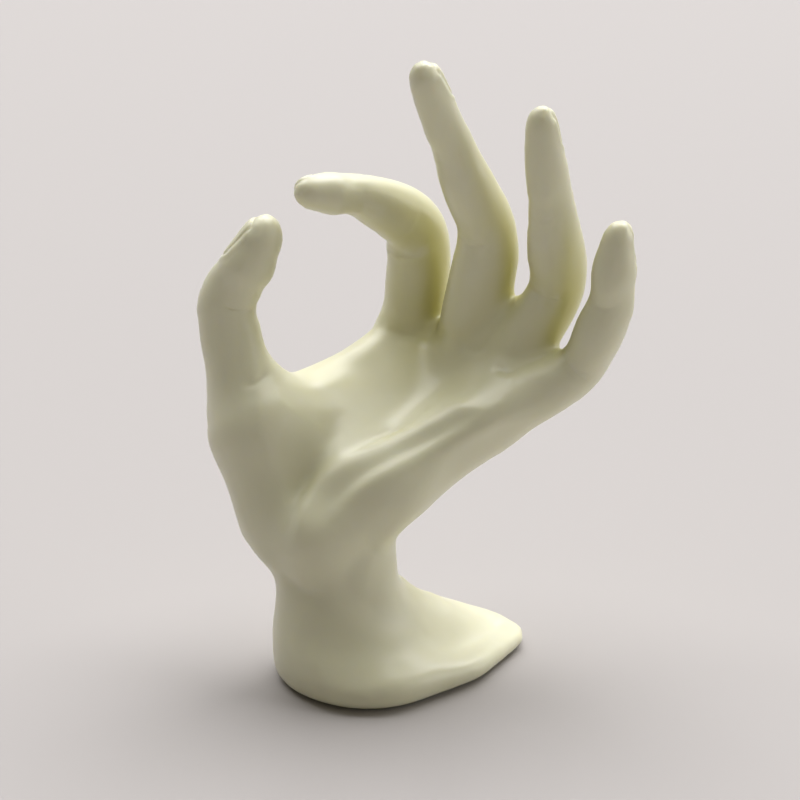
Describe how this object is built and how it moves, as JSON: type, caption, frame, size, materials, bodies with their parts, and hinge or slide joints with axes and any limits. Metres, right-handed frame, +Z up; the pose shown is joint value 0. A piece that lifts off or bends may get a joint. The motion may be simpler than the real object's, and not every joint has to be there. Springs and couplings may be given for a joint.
{
  "type": "jewelry display hand",
  "caption": "Cast hand on a flared foot that displays rings, bracelets and chains, with the thumb and index finger curled toward each other.",
  "frame": {"origin": "on the surface that the foot stands on, under the axis of the narrow neck, on the felt pad's underside", "axes": "+Z up along the hand, +X toward the little finger's side, -Y toward the viewer who looks at the palm"},
  "size_m": [0.1164, 0.0843, 0.169],
  "materials": {
    "gloss_resin": "ivory polyresin under a clear gloss",
    "poured_filler": "grey poured stone filler, matte",
    "plug_plastic": "plain moulded disc, satin",
    "felt": "short pressed felt"
  },
  "bodies": {
    "root": {"hand_casting": "gloss_resin", "ballast": "poured_filler", "closing_plug": "plug_plastic", "felt_pad": "felt"}
  },
  "joints": []
}
